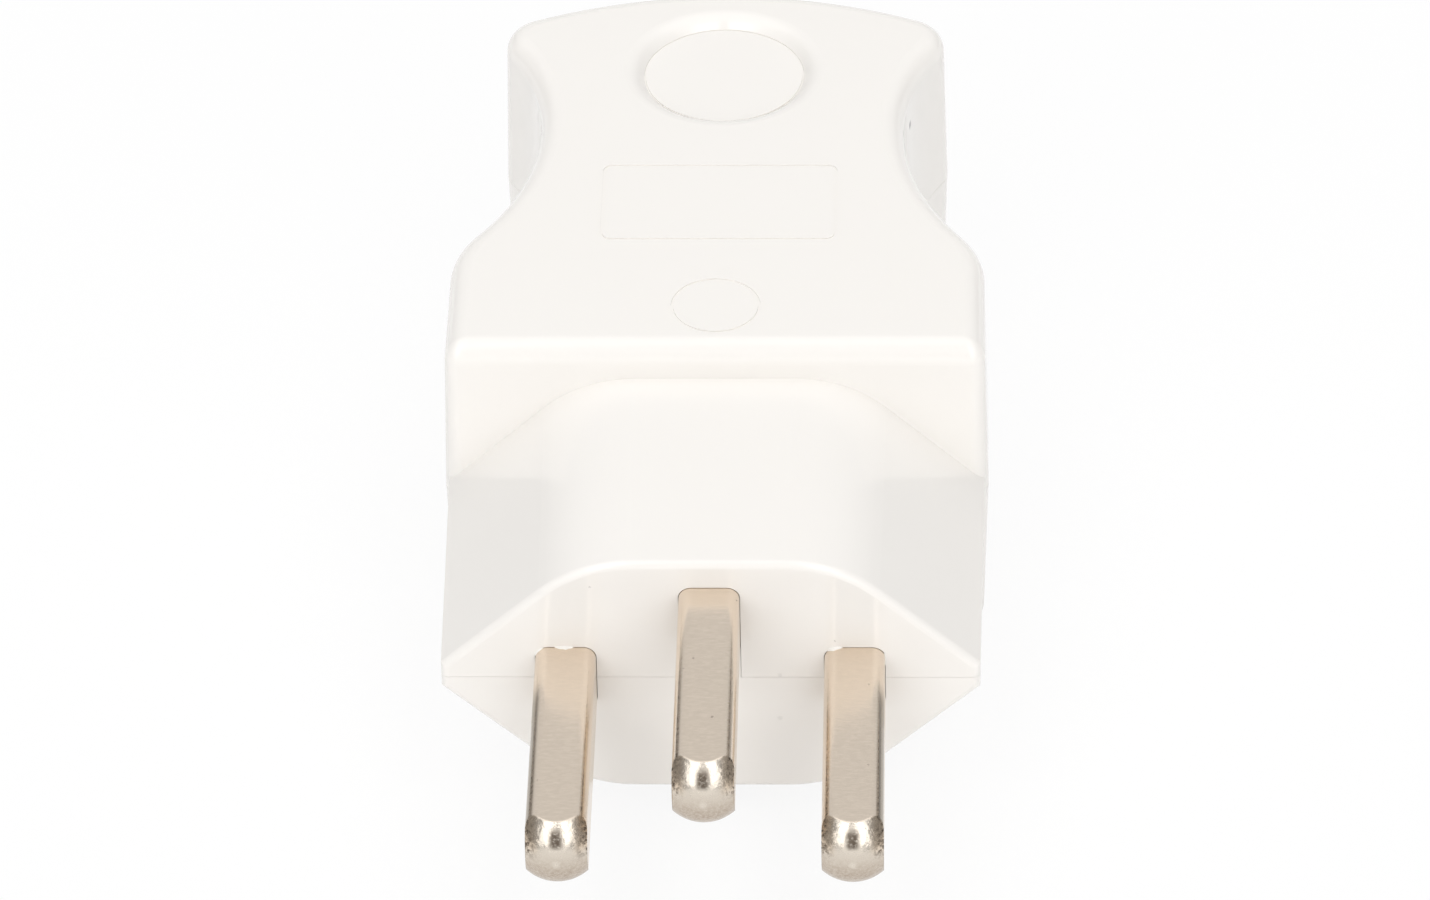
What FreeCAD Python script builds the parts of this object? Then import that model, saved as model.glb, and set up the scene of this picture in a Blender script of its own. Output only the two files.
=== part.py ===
"""A rewirable type J plug with three flat pins, in the 16 A size.

The origin is the middle of the face that meets the socket, on the line through the live and
neutral pins. The pins point along -Y, the grip lies along +Y and +Z is up. Millimetres.
"""

import FreeCAD, Part
import math
import os
import re

import Sketcher
from FreeCAD import Vector

SIZES = {
    # Pin pattern, as sockets expect it
    "pin_gap": 19.0,
    "earth_rise": 5.0,
    "pin_reach": 19.0,
    "pin_wide": 4.0,
    "pin_tall": 5.0,
    "pin_edge": 0.85,
    "pin_dome": 3.0,
    # Pin behind the face: collar, thinner shank and terminal head
    "collar_wide": 6.4,
    "collar_long": 2.0,
    "shank_tall": 2.6,
    "head_clear": 0.3,
    "head_wide": 6.4,
    "head_tall": 7.4,
    "head_long": 12.0,
    "head_edge": 0.4,
    "wire_bore": 2.8,
    "wire_stop": 3.0,
    # Six-sided nose that goes into the socket's recess
    "nose_wide": 35.5,
    "nose_tall": 19.0,
    "nose_side": 1.9,
    "nose_slant": 43.0,
    "nose_round": 9.0,
    "nose_length": 19.7,
    "nose_draft": 1.0,
    "nose_edge": 0.5,
    # Hourglass grip
    "grip_wide": 36.8,
    "grip_thick": 24.0,
    "grip_corner": 1.2,
    "grip_draft": 1.5,
    "edge_round": 1.5,
    "shoulder_round": 8.0,
    "waist_wide": 25.7,
    "waist_place": 46.5,
    "waist_round": 22.0,
    "tail_wide": 31.3,
    "tail_round": 3.0,
    "end_round": 33.0,
    "housing_length": 62.5,
    # Walls of the two shells and the joint between them
    "wall": 2.2,
    "roof": 2.8,
    "face_wall": 3.0,
    "rib_thick": 2.0,
    "hollow_corner": 1.0,
    "parting_gap": 0.03,
    "lip_wide": 0.9,
    "lip_tall": 1.2,
    "lip_clear": 0.1,
    "pin_clear": 0.03,
    # Marks on top
    "mark_wide": 0.16,
    "mark_depth": 0.08,
    "disc_wide": 6.05,
    "disc_place": 24.8,
    "panel_wide": 16.1,
    "panel_long": 8.65,
    "panel_corner": 0.7,
    "panel_place": 36.6,
    "dish_mouth": 12.8,
    "dish_floor": 11.2,
    "dish_depth": 0.72,
    "dish_round": 1.6,
    "dish_line": 0.12,
    "dish_place": 52.6,
    # Cord entry and clamp
    "entry_bore": 10.0,
    "entry_long": 5.0,
    "entry_sink": 1.2,
    "entry_flare": 0.8,
    "saddle_bore": 8.4,
    "saddle_thick": 1.6,
    "saddle_gap": 5.0,
    "clamp_gap": 1.2,
    "clamp_side": 0.65,
    "clamp_wide": 7.0,
    "clamp_thick": 3.0,
    "clamp_drop": 1.5,
    "clamp_edge": 0.8,
    "clamp_bite": 1.0,
    # Bosses, seats and barriers inside
    "wire_room": 4.0,
    "boss_wide": 7.0,
    "clamp_boss": 5.4,
    "screw_seat": 5.0,
    "seat_wide": 5.0,
    "seat_long": 6.0,
    "barrier_spread": 9.5,
    "barrier_thick": 1.2,
    "barrier_past": 1.0,
    # Screws: core, head and length of each kind
    "screw_clear": 0.1,
    "screw_play": 0.4,
    "housing_core": 2.9,
    "housing_head": 5.8,
    "housing_head_tall": 2.2,
    "housing_reach": 12.0,
    "clamp_core": 2.4,
    "clamp_head": 4.6,
    "clamp_head_tall": 1.8,
    "clamp_reach": 9.5,
    "terminal_core": 3.3,
    "terminal_head": 5.4,
    "terminal_head_tall": 2.2,
    "terminal_reach": 3.2,
    "driver_slot": 0.8,
    "driver_depth": 1.0,
    "head_round": 0.5,
}

# Point of a sketch line or arc, and the sketch's own axes
START = 1
END = 2
CENTRE = 3
ORIGIN = -1
UP_AXIS = -2
# Distance by which a cutting profile stands clear of the solid that it cuts
OVERCUT = 1.0
# Tolerance by which faces and edges are picked from where they lie
NEAR = 0.01

# Places that follow from other sizes
PARTING = "parting_gap / 2"
TOP = "grip_thick / 2"
CEILING = "grip_thick / 2 - roof"
NOSE_WALL = "nose_tall / 2 - earth_rise - pin_tall / 2 - pin_clear"
RIB_PLACE = "face_wall + collar_long + 2 * pin_clear"
HEAD_PLACE = "nose_length + wall + head_clear"
TERMINAL_PLACE = f"{HEAD_PLACE} + head_long / 2"
BOSS_PLACE = f"{HEAD_PLACE} + head_long + wire_room + boss_wide / 2"
BOSS_ACROSS = "waist_wide / 2 - wall - lip_clear - boss_wide / 2"
CLAMP_PLACE = f"{BOSS_PLACE} + boss_wide / 2 + clamp_gap + clamp_wide / 2"
CLAMP_LONG = "waist_wide - 2 * wall - 2 * clamp_side"
CLAMP_ACROSS = f"({CLAMP_LONG} - clamp_head) / 2"

doc = FreeCAD.newDocument("type_j_plug")
sheet = doc.addObject("Spreadsheet::Sheet", "Sizes")
for row, (alias, value) in enumerate(SIZES.items(), 1):
    sheet.set(f"A{row}", alias)
    sheet.set(f"B{row}", str(value))
    sheet.setAlias(f"B{row}", alias)
doc.recompute()

ALIASES = re.compile(r"\b(" + "|".join(SIZES) + r")\b")


# Sizes and sketches

def cells(expression):
    """The expression with each size's name pointing at its cell."""
    return ALIASES.sub(r"Sizes.\1", expression)


def size(expression):
    """The expression's present value."""
    value = sheet.evalExpression(cells(expression))
    return float(getattr(value, "Value", value))


def origin_plane(body, role):
    return next(feature for feature in body.Origin.OriginFeatures if feature.Role == role)


def new_sketch(body, name, role, level="0"):
    """A sketch on the XY plane at height level, or on the XZ plane at distance level along +Y."""
    sketch = body.newObject("Sketcher::SketchObject", f"{body.Name}_{name}_sketch")
    sketch.AttachmentSupport = [(origin_plane(body, role), "")]
    sketch.MapMode = "FlatFace"
    sign = "-" if role == "XZ_Plane" else ""
    sketch.setExpression("AttachmentOffset.Base.z", f"{sign}({cells(level)})")
    return sketch


def bind(sketch, kind, *targets, to):
    """Adds a dimension whose value is an expression over the sheet."""
    value = math.radians(size(to)) if kind == "Angle" else size(to)
    index = sketch.addConstraint(Sketcher.Constraint(kind, *targets, value))
    sketch.setExpression(f"Constraints[{index}]", cells(to))


def bind_point(sketch, item, point, across, up):
    bind(sketch, "DistanceX", ORIGIN, START, item, point, to=across)
    bind(sketch, "DistanceY", ORIGIN, START, item, point, to=up)


def relate(sketch, *terms):
    sketch.addConstraint(Sketcher.Constraint(*terms))


def add_line(sketch, start, end):
    return sketch.addGeometry(Part.LineSegment(Vector(*start, 0), Vector(*end, 0)))


def add_arc(sketch, centre, radius, first, last):
    circle = Part.Circle(Vector(*centre, 0), Vector(0, 0, 1), radius)
    return sketch.addGeometry(Part.ArcOfCircle(circle, first, last))


def draw_polygon(sketch, corners):
    """A closed outline of straight lines, each corner tied to two expressions."""
    points = [(size(across), size(up)) for across, up in corners]
    lines = [add_line(sketch, point, after) for point, after in zip(points, points[1:] + points[:1])]
    for line, after in zip(lines, lines[1:] + lines[:1]):
        relate(sketch, "Coincident", line, END, after, START)
    for line, (across, up) in zip(lines, corners):
        bind_point(sketch, line, START, across, up)


def draw_box(sketch, left, right, bottom, top):
    draw_polygon(sketch, [(left, bottom), (right, bottom), (right, top), (left, top)])


def draw_circle(sketch, across, up, diameter):
    circle = Part.Circle(Vector(size(across), size(up), 0), Vector(0, 0, 1), size(diameter) / 2)
    item = sketch.addGeometry(circle)
    bind_point(sketch, item, CENTRE, across, up)
    bind(sketch, "Diameter", item, to=diameter)


def draw_rounded_box(sketch, across, up, wide, tall, corner):
    """A rectangle with four equal round corners, placed by its middle."""
    left, right = f"{across} - ({wide}) / 2", f"{across} + ({wide}) / 2"
    bottom, top = f"{up} - ({tall}) / 2", f"{up} + ({tall}) / 2"
    x0, x1, y0, y1, r = (size(text) for text in (left, right, bottom, top, corner))
    quarter = math.pi / 2
    below = add_line(sketch, (x0 + r, y0), (x1 - r, y0))
    arc_a = add_arc(sketch, (x1 - r, y0 + r), r, -quarter, 0)
    beside = add_line(sketch, (x1, y0 + r), (x1, y1 - r))
    arc_b = add_arc(sketch, (x1 - r, y1 - r), r, 0, quarter)
    above = add_line(sketch, (x1 - r, y1), (x0 + r, y1))
    arc_c = add_arc(sketch, (x0 + r, y1 - r), r, quarter, 2 * quarter)
    back = add_line(sketch, (x0, y1 - r), (x0, y0 + r))
    arc_d = add_arc(sketch, (x0 + r, y0 + r), r, 2 * quarter, 3 * quarter)
    ring = [below, arc_a, beside, arc_b, above, arc_c, back, arc_d]
    for item, after in zip(ring, ring[1:] + ring[:1]):
        relate(sketch, "Tangent", item, END, after, START)
    for line in (below, above):
        relate(sketch, "Horizontal", line)
    for line in (beside, back):
        relate(sketch, "Vertical", line)
    for arc in (arc_a, arc_b, arc_c, arc_d):
        bind(sketch, "Radius", arc, to=corner)
    bind(sketch, "DistanceY", ORIGIN, START, below, START, to=bottom)
    bind(sketch, "DistanceY", ORIGIN, START, above, START, to=top)
    bind(sketch, "DistanceX", ORIGIN, START, beside, START, to=right)
    bind(sketch, "DistanceX", ORIGIN, START, back, START, to=left)


# Features

def faces_back(sketch):
    """True where the sketch's own normal points along -Y."""
    return sketch.AttachmentSupport[0][0].Role == "XZ_Plane"


def pad(body, name, sketch, length):
    """Solid from the sketch towards +Z or +Y."""
    feature = body.newObject("PartDesign::Pad", f"{body.Name}_{name}")
    feature.Profile = sketch
    feature.Reversed = faces_back(sketch)
    feature.setExpression("Length", cells(length))
    doc.recompute()
    return feature


def check_cut(feature, before):
    if feature.Shape.Volume > before - 1e-6:
        raise RuntimeError(f"{feature.Name} cuts nothing")
    return feature


def pocket(body, name, sketch, length):
    """Cut from the sketch towards +Z or +Y."""
    before = body.Tip.Shape.Volume
    feature = body.newObject("PartDesign::Pocket", f"{body.Name}_{name}")
    feature.Profile = sketch
    feature.Reversed = not faces_back(sketch)
    feature.setExpression("Length", cells(length))
    doc.recompute()
    return check_cut(feature, before)


def groove(body, name, sketch):
    """Full turn of the profile about the sketch's upright axis, cut away."""
    before = body.Tip.Shape.Volume
    feature = body.newObject("PartDesign::Groove", f"{body.Name}_{name}")
    feature.Profile = sketch
    feature.ReferenceAxis = (sketch, ["V_Axis"])
    feature.Angle = 360
    doc.recompute()
    return check_cut(feature, before)


def loft(body, name, kind, first, last):
    feature = body.newObject(f"PartDesign::{kind}", f"{body.Name}_{name}")
    feature.Profile = first
    feature.Sections = [last]
    feature.Ruled = True
    doc.recompute()
    return feature


def fillet(body, name, radius, chosen):
    """Rounds the edges of the body that chosen(edge) picks."""
    base = body.Tip
    edges = [f"Edge{i}" for i, edge in enumerate(base.Shape.Edges, 1) if chosen(edge)]
    feature = body.newObject("PartDesign::Fillet", f"{body.Name}_{name}")
    feature.Base = (base, edges)
    feature.setExpression("Radius", cells(radius))
    doc.recompute()
    return feature


# Housing shells, each drawn as the half beside the middle plane, with its outer side upwards

def draw_plan(body, name, level, inset, corner):
    """Half of the hourglass outline seen from above, moved inwards by inset."""
    sketch = new_sketch(body, name, "XY_Plane", level)
    half_wide = f"grip_wide / 2 - ({inset})"
    shoulder = f"shoulder_round - ({inset})"
    waist = f"waist_wide / 2 - ({inset})"
    waist_round = f"waist_round + ({inset})"
    tail_round = f"tail_round - ({inset})"
    tail_middle = "tail_wide / 2 - tail_round"
    end_round = f"end_round - ({inset})"
    front = f"nose_length + ({inset})"
    back = f"housing_length - ({inset})"

    x_side, x_waist, x_tail = size(half_wide), size(waist), size(tail_middle)
    y_front, y_waist, y_back = size(front), size("waist_place"), size(back)
    r_corner, r_shoulder, r_front = size(corner), size(shoulder), size(waist_round)
    r_tail, r_end = size(tail_round), size(end_round)
    # Where the tangent arcs meet, from the triangles between their centres
    across = x_waist + r_front - (x_side - r_shoulder)
    along = math.sqrt((r_shoulder + r_front) ** 2 - across ** 2)
    y_shoulder = y_waist - along
    shoulder_turn = math.atan2(along, across)
    y_end = y_back - r_end
    y_tail = y_end + math.sqrt((r_end - r_tail) ** 2 - x_tail ** 2)
    step = x_waist - x_tail
    rise = y_tail - y_waist
    r_rear = (step ** 2 + rise ** 2 - r_tail ** 2) / (2 * (r_tail - step))
    tail_turn = math.atan2(-rise, step + r_rear)
    end_turn = math.atan2(y_tail - y_end, x_tail)

    face = add_line(sketch, (0, y_front), (x_side - r_corner, y_front))
    bend = add_arc(sketch, (x_side - r_corner, y_front + r_corner), r_corner, -math.pi / 2, 0)
    side = add_line(sketch, (x_side, y_front + r_corner), (x_side, y_shoulder))
    bulge = add_arc(sketch, (x_side - r_shoulder, y_shoulder), r_shoulder, 0, shoulder_turn)
    dip = add_arc(sketch, (x_waist + r_front, y_waist), r_front, math.pi, math.pi + shoulder_turn)
    flare = add_arc(sketch, (x_waist + r_rear, y_waist), r_rear, math.pi + tail_turn, math.pi)
    tail = add_arc(sketch, (x_tail, y_tail), r_tail, tail_turn, end_turn)
    end = add_arc(sketch, (0, y_end), r_end, end_turn, math.pi / 2)
    middle = add_line(sketch, (0, y_back), (0, y_front))

    relate(sketch, "Tangent", face, END, bend, START)
    relate(sketch, "Tangent", bend, END, side, START)
    relate(sketch, "Tangent", side, END, bulge, START)
    relate(sketch, "Tangent", bulge, END, dip, END)
    relate(sketch, "Tangent", dip, START, flare, END)
    relate(sketch, "Tangent", flare, START, tail, START)
    relate(sketch, "Tangent", tail, END, end, START)
    relate(sketch, "Coincident", end, END, middle, START)
    relate(sketch, "Coincident", middle, END, face, START)
    relate(sketch, "Horizontal", face)
    relate(sketch, "Vertical", side)
    relate(sketch, "PointOnObject", face, START, UP_AXIS)
    relate(sketch, "PointOnObject", end, CENTRE, UP_AXIS)
    relate(sketch, "PointOnObject", end, END, UP_AXIS)
    bind(sketch, "DistanceY", ORIGIN, START, face, START, to=front)
    bind(sketch, "DistanceX", ORIGIN, START, side, START, to=half_wide)
    bind(sketch, "Radius", bend, to=corner)
    bind(sketch, "Radius", bulge, to=shoulder)
    bind(sketch, "Radius", dip, to=waist_round)
    bind_point(sketch, dip, START, waist, "waist_place")
    bind(sketch, "DistanceY", ORIGIN, START, dip, CENTRE, to="waist_place")
    bind(sketch, "Radius", tail, to=tail_round)
    bind(sketch, "DistanceX", ORIGIN, START, tail, CENTRE, to=tail_middle)
    bind(sketch, "Radius", end, to=end_round)
    bind(sketch, "DistanceY", ORIGIN, START, end, END, to=back)
    return sketch


def draw_nose(body, name, place, inset=None):
    """Half of the six-sided section at a place behind the face; with an inset, its hollow."""
    sketch = new_sketch(body, name, "XZ_Plane", place)
    wide = f"nose_wide / 2 + ({place}) * tan(nose_draft)"
    foot = "nose_side / 2"
    tall = "nose_tall / 2"
    bend = "nose_round"
    if inset is not None:
        wide = f"{wide} + {foot} / tan(nose_slant) - ({inset}) / sin(nose_slant)"
        foot = PARTING
        tall = f"{tall} - ({inset})"
        bend = f"{bend} - ({inset})"

    x_wide, z_foot, z_tall, r_bend = size(wide), size(foot), size(tall), size(bend)
    slant_turn = math.radians(size("nose_slant"))
    tangent = r_bend * math.tan(slant_turn / 2)
    x_corner = x_wide - (z_tall - z_foot) / math.tan(slant_turn)
    low = (x_corner + tangent * math.cos(slant_turn), z_tall - tangent * math.sin(slant_turn))
    z_part = size(PARTING)

    base = add_line(sketch, (0, z_part), (x_wide, z_part))
    slant = add_line(sketch, (x_wide, z_foot), low)
    centre = (x_corner - tangent, z_tall - r_bend)
    arc = add_arc(sketch, centre, r_bend, math.pi / 2 - slant_turn, math.pi / 2)
    crown = add_line(sketch, (x_corner - tangent, z_tall), (0, z_tall))
    middle = add_line(sketch, (0, z_tall), (0, z_part))
    if inset is None:
        side = add_line(sketch, (x_wide, z_part), (x_wide, z_foot))
        relate(sketch, "Coincident", base, END, side, START)
        relate(sketch, "Coincident", side, END, slant, START)
        relate(sketch, "Vertical", side)
        bind(sketch, "DistanceY", ORIGIN, START, side, END, to=foot)
    else:
        relate(sketch, "Coincident", base, END, slant, START)
    relate(sketch, "Tangent", slant, END, arc, START)
    relate(sketch, "Tangent", arc, END, crown, START)
    relate(sketch, "Coincident", crown, END, middle, START)
    relate(sketch, "Coincident", middle, END, base, START)
    relate(sketch, "Horizontal", base)
    relate(sketch, "Horizontal", crown)
    relate(sketch, "Vertical", middle)
    bind_point(sketch, base, START, "0", PARTING)
    bind(sketch, "DistanceX", ORIGIN, START, base, END, to=wide)
    bind(sketch, "DistanceY", ORIGIN, START, crown, START, to=tall)
    bind(sketch, "Radius", arc, to=bend)
    bind(sketch, "Angle", slant, to="180 - nose_slant")
    return sketch


def outer_form(body):
    """Drafted hourglass grip with rounded edges, and the tapering nose in front of it."""
    pad(body, "grip", draw_plan(body, "grip", PARTING, "0", "grip_corner"), f"{TOP} - {PARTING}")
    grip = body.Tip
    walls = [f"Face{i}" for i, face in enumerate(grip.Shape.Faces, 1)
             if face.BoundBox.XMax > NEAR and face.BoundBox.ZLength > NEAR]
    draft = body.newObject("PartDesign::Draft", f"{body.Name}_draft")
    draft.Base = (grip, walls)
    draft.NeutralPlane = (origin_plane(body, "XY_Plane"), [""])
    draft.setExpression("Angle", cells("grip_draft"))
    doc.recompute()
    top = size(TOP) - NEAR
    fillet(body, "edges", "edge_round",
           lambda edge: edge.BoundBox.ZMin > top and edge.BoundBox.XMax > NEAR)
    tip = draw_nose(body, "nose_tip", "0")
    root = draw_nose(body, "nose_root", "nose_length + wall")
    loft(body, "nose", "AdditiveLoft", tip, root)
    foot = size(PARTING) + NEAR
    fillet(body, "nose_edges", "nose_edge",
           lambda edge: edge.BoundBox.YMax < NEAR < edge.BoundBox.XMax and edge.BoundBox.ZMax > foot)


def hollow(body):
    """Space inside the grip and the nose, with the cross rib that traps the pins' collars."""
    inner = draw_plan(body, "hollow", PARTING, "wall", "hollow_corner")
    pocket(body, "hollow", inner, f"{CEILING} - {PARTING}")
    front = draw_nose(body, "nose_hollow_front", "face_wall", NOSE_WALL)
    rear = draw_nose(body, "nose_hollow_rear", "nose_length + 2 * wall", NOSE_WALL)
    loft(body, "nose_hollow", "SubtractiveLoft", front, rear)
    rib = draw_nose(body, "rib", RIB_PLACE, f"({NOSE_WALL}) / 2")
    pad(body, "rib", rib, "rib_thick")


def pin_slots(body):
    """Openings in the face and the rib for the pin beside the middle plane."""
    face = new_sketch(body, "face_slot", "XZ_Plane", "-nose_edge")
    draw_rounded_box(face, "pin_gap / 2", "0", "pin_wide + 2 * pin_clear", "pin_tall + 2 * pin_clear",
                     "pin_edge + pin_clear")
    pocket(body, "face_slot", face, "face_wall + 2 * nose_edge")
    rib = new_sketch(body, "rib_slot", "XZ_Plane", RIB_PLACE)
    reach = "shank_tall / 2 + pin_clear"
    draw_box(rib, "pin_gap / 2 - pin_wide / 2 - pin_clear", "pin_gap / 2 + pin_wide / 2 + pin_clear",
             f"-({reach})", reach)
    pocket(body, "rib_slot", rib, "rib_thick")


def cord_entry(body):
    """Half of the round cord entry at the back, in a thick block, with a flared mouth."""
    thick = new_sketch(body, "entry_block", "XZ_Plane", "housing_length - entry_long")
    draw_box(thick, "0", "entry_bore / 2 + wall", PARTING, "entry_bore / 2 + wall")
    pad(body, "entry_block", thick, "entry_long - entry_sink")
    bore = new_sketch(body, "entry_bore", "XZ_Plane", "housing_length - entry_long - entry_flare")
    draw_circle(bore, "0", "0", "entry_bore")
    pocket(body, "entry_bore", bore, "entry_long + 2 * entry_flare")
    mouth = new_sketch(body, "entry_mouth", "XY_Plane")
    draw_polygon(mouth, [
        ("0", "housing_length - entry_flare"),
        ("entry_bore / 2", "housing_length - entry_flare"),
        ("entry_bore / 2 + entry_flare", "housing_length"),
        ("entry_bore / 2 + entry_flare", "housing_length + entry_flare"),
        ("0", "housing_length + entry_flare"),
    ])
    groove(body, "entry_mouth", mouth)


def mirror(body):
    """The other half, across the middle plane."""
    feature = body.newObject("PartDesign::Mirrored", f"{body.Name}_both_halves")
    feature.TransformMode = "Whole shape"
    feature.MirrorPlane = (origin_plane(body, "YZ_Plane"), [""])
    body.Tip = feature
    doc.recompute()


def boss(body, name, across, along, diameter, foot):
    """Round post from the height foot up into the ceiling."""
    sketch = new_sketch(body, name, "XY_Plane", foot)
    draw_circle(sketch, across, along, diameter)
    pad(body, name, sketch, f"{CEILING} + roof / 2 - ({foot})")


def hole(body, name, across, along, diameter, foot, depth):
    sketch = new_sketch(body, name, "XY_Plane", foot)
    draw_circle(sketch, across, along, diameter)
    pocket(body, name, sketch, depth)


def block(body, name, left, right, front, back, foot):
    """Rectangular rib or seat from the height foot up into the ceiling."""
    sketch = new_sketch(body, name, "XY_Plane", foot)
    draw_box(sketch, left, right, front, back)
    pad(body, name, sketch, f"{CEILING} + roof / 2 - ({foot})")


def top_marks(body):
    """Thin outlines of a bare round mark and a bare panel, and the dish near the end of the grip."""
    level = f"{TOP} - mark_depth"
    disc = new_sketch(body, "disc", "XY_Plane", level)
    draw_circle(disc, "0", "disc_place", "disc_wide")
    draw_circle(disc, "0", "disc_place", "disc_wide - 2 * mark_wide")
    pocket(body, "disc", disc, "2 * mark_depth")
    panel = new_sketch(body, "panel", "XY_Plane", level)
    draw_rounded_box(panel, "0", "panel_place", "panel_wide", "panel_long", "panel_corner")
    draw_rounded_box(panel, "0", "panel_place", "panel_wide - 2 * mark_wide", "panel_long - 2 * mark_wide",
                     "panel_corner - mark_wide")
    pocket(body, "panel", panel, "2 * mark_depth")
    dish = new_sketch(body, "dish", "XZ_Plane", "dish_place")
    draw_polygon(dish, [
        ("0", f"{TOP} - dish_depth"),
        ("dish_floor / 2 - dish_line", f"{TOP} - dish_depth"),
        ("dish_floor / 2 - dish_line", f"{TOP} - dish_depth - mark_depth"),
        ("dish_floor / 2", f"{TOP} - dish_depth - mark_depth"),
        ("dish_floor / 2", f"{TOP} - dish_depth"),
        ("dish_mouth / 2", TOP),
        ("dish_mouth / 2", f"{TOP} + dish_depth"),
        ("0", f"{TOP} + dish_depth"),
    ])
    groove(body, "dish", dish)
    middle, radius = Vector(0, size("dish_place"), size(TOP)), size("dish_mouth / 2")
    fillet(body, "dish_mouth", "dish_round",
           lambda edge: all(abs(end.Point.distanceToPoint(middle) - radius) < NEAR for end in edge.Vertexes))


def earth_slots(body):
    """Upright slots in the face and the rib, through which the earth pin is laid in."""
    wide = "pin_wide + 2 * pin_clear"
    high = "earth_rise + pin_tall / 2 + pin_clear"
    face = new_sketch(body, "earth_face_slot", "XZ_Plane", "-nose_edge")
    draw_rounded_box(face, "0", "0", wide, f"2 * ({high})", "pin_edge + pin_clear")
    pocket(body, "earth_face_slot", face, "face_wall + 2 * nose_edge")
    rib = new_sketch(body, "earth_rib_slot", "XZ_Plane", RIB_PLACE)
    draw_box(rib, f"-({wide}) / 2", f"({wide}) / 2", "0", "earth_rise + shank_tall / 2 + pin_clear")
    pocket(body, "earth_rib_slot", rib, "rib_thick")


def saddle(body, name, along):
    """Cross rib with a round notch, on which the cord lies."""
    sketch = new_sketch(body, name, "XZ_Plane", along)
    draw_box(sketch, "0", CLAMP_ACROSS, PARTING, f"{CEILING} + roof / 2")
    pad(body, name, sketch, "saddle_thick")
    notch = new_sketch(body, f"{name}_notch", "XZ_Plane", along)
    draw_circle(notch, "0", "0", "saddle_bore")
    pocket(body, f"{name}_notch", notch, "saddle_thick")


def make_upper_shell():
    body = doc.addObject("PartDesign::Body", "upper_shell")
    outer_form(body)
    hollow(body)
    rebate = draw_plan(body, "rebate", PARTING, "wall - lip_wide - lip_clear", "hollow_corner")
    pocket(body, "rebate", rebate, f"lip_tall + lip_clear - {PARTING}")
    pin_slots(body)
    earth_slots(body)
    cord_entry(body)
    top_marks(body)
    block(body, "barrier", "barrier_spread / 2 - barrier_thick / 2", "barrier_spread / 2 + barrier_thick / 2",
          HEAD_PLACE, f"{HEAD_PLACE} + head_long + barrier_past", PARTING)
    middle = f"{HEAD_PLACE} + head_long / 2"
    front, back = f"{middle} - seat_long / 2", f"{middle} + seat_long / 2"
    block(body, "side_seat", "pin_gap / 2 - seat_wide / 2", "pin_gap / 2 + seat_wide / 2", front, back,
          "head_tall / 2 + pin_clear")
    block(body, "earth_seat", "0", "seat_wide / 2", front, back, "earth_rise + head_tall / 2 + pin_clear")
    saddle(body, "front_saddle", f"{CLAMP_PLACE} - saddle_gap / 2 - saddle_thick")
    saddle(body, "rear_saddle", f"{CLAMP_PLACE} + saddle_gap / 2")
    boss(body, "housing_boss", BOSS_ACROSS, BOSS_PLACE, "boss_wide", PARTING)
    hole(body, "housing_pilot", BOSS_ACROSS, BOSS_PLACE, "housing_core + screw_clear", PARTING,
         "housing_reach - screw_seat + screw_clear")
    boss(body, "clamp_boss", CLAMP_ACROSS, CLAMP_PLACE, "clamp_boss", "-clamp_drop")
    hole(body, "clamp_pilot", CLAMP_ACROSS, CLAMP_PLACE, "clamp_core + screw_clear", "-clamp_drop",
         "clamp_reach - clamp_thick + screw_clear")
    mirror(body)
    return body


def make_lower_shell():
    """Drawn like the upper shell, then turned over about the Y axis."""
    body = doc.addObject("PartDesign::Body", "lower_shell")
    outer_form(body)
    lip = draw_plan(body, "lip", "-lip_tall", "wall - lip_wide", "hollow_corner")
    pad(body, "lip", lip, f"lip_tall + {PARTING}")
    inside = draw_plan(body, "lip_inside", "-lip_tall", "wall", "hollow_corner")
    pocket(body, "lip_inside", inside, f"lip_tall + {PARTING}")
    hollow(body)
    front_gap = new_sketch(body, "lip_front_gap", "XY_Plane", "-lip_tall")
    draw_box(front_gap, "0", "grip_wide / 2", "nose_length", "nose_length + 2 * wall")
    pocket(body, "lip_front_gap", front_gap, f"lip_tall + {PARTING}")
    rear_gap = new_sketch(body, "lip_rear_gap", "XY_Plane", "-lip_tall")
    draw_box(rear_gap, "0", "entry_bore / 2 + wall + lip_clear", "housing_length - entry_long",
             "housing_length")
    pocket(body, "lip_rear_gap", rear_gap, f"lip_tall + {PARTING}")
    pin_slots(body)
    cord_entry(body)
    high = "earth_rise - pin_tall / 2 - pin_clear"
    tongue = new_sketch(body, "tongue", "XZ_Plane", "0")
    draw_box(tongue, "0", "pin_wide / 2", f"-({high})", "pin_tall / 2")
    pad(body, "tongue", tongue, "face_wall")
    boss(body, "housing_boss", BOSS_ACROSS, BOSS_PLACE, "boss_wide", PARTING)
    hole(body, "housing_hole", BOSS_ACROSS, BOSS_PLACE, "housing_core + screw_play", PARTING, TOP)
    hole(body, "housing_seat", BOSS_ACROSS, BOSS_PLACE, "housing_head + screw_play", "screw_seat", TOP)
    mirror(body)
    body.Placement = FreeCAD.Placement(Vector(0, 0, 0), FreeCAD.Rotation(Vector(0, 1, 0), 180))
    return body


# Pins

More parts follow.
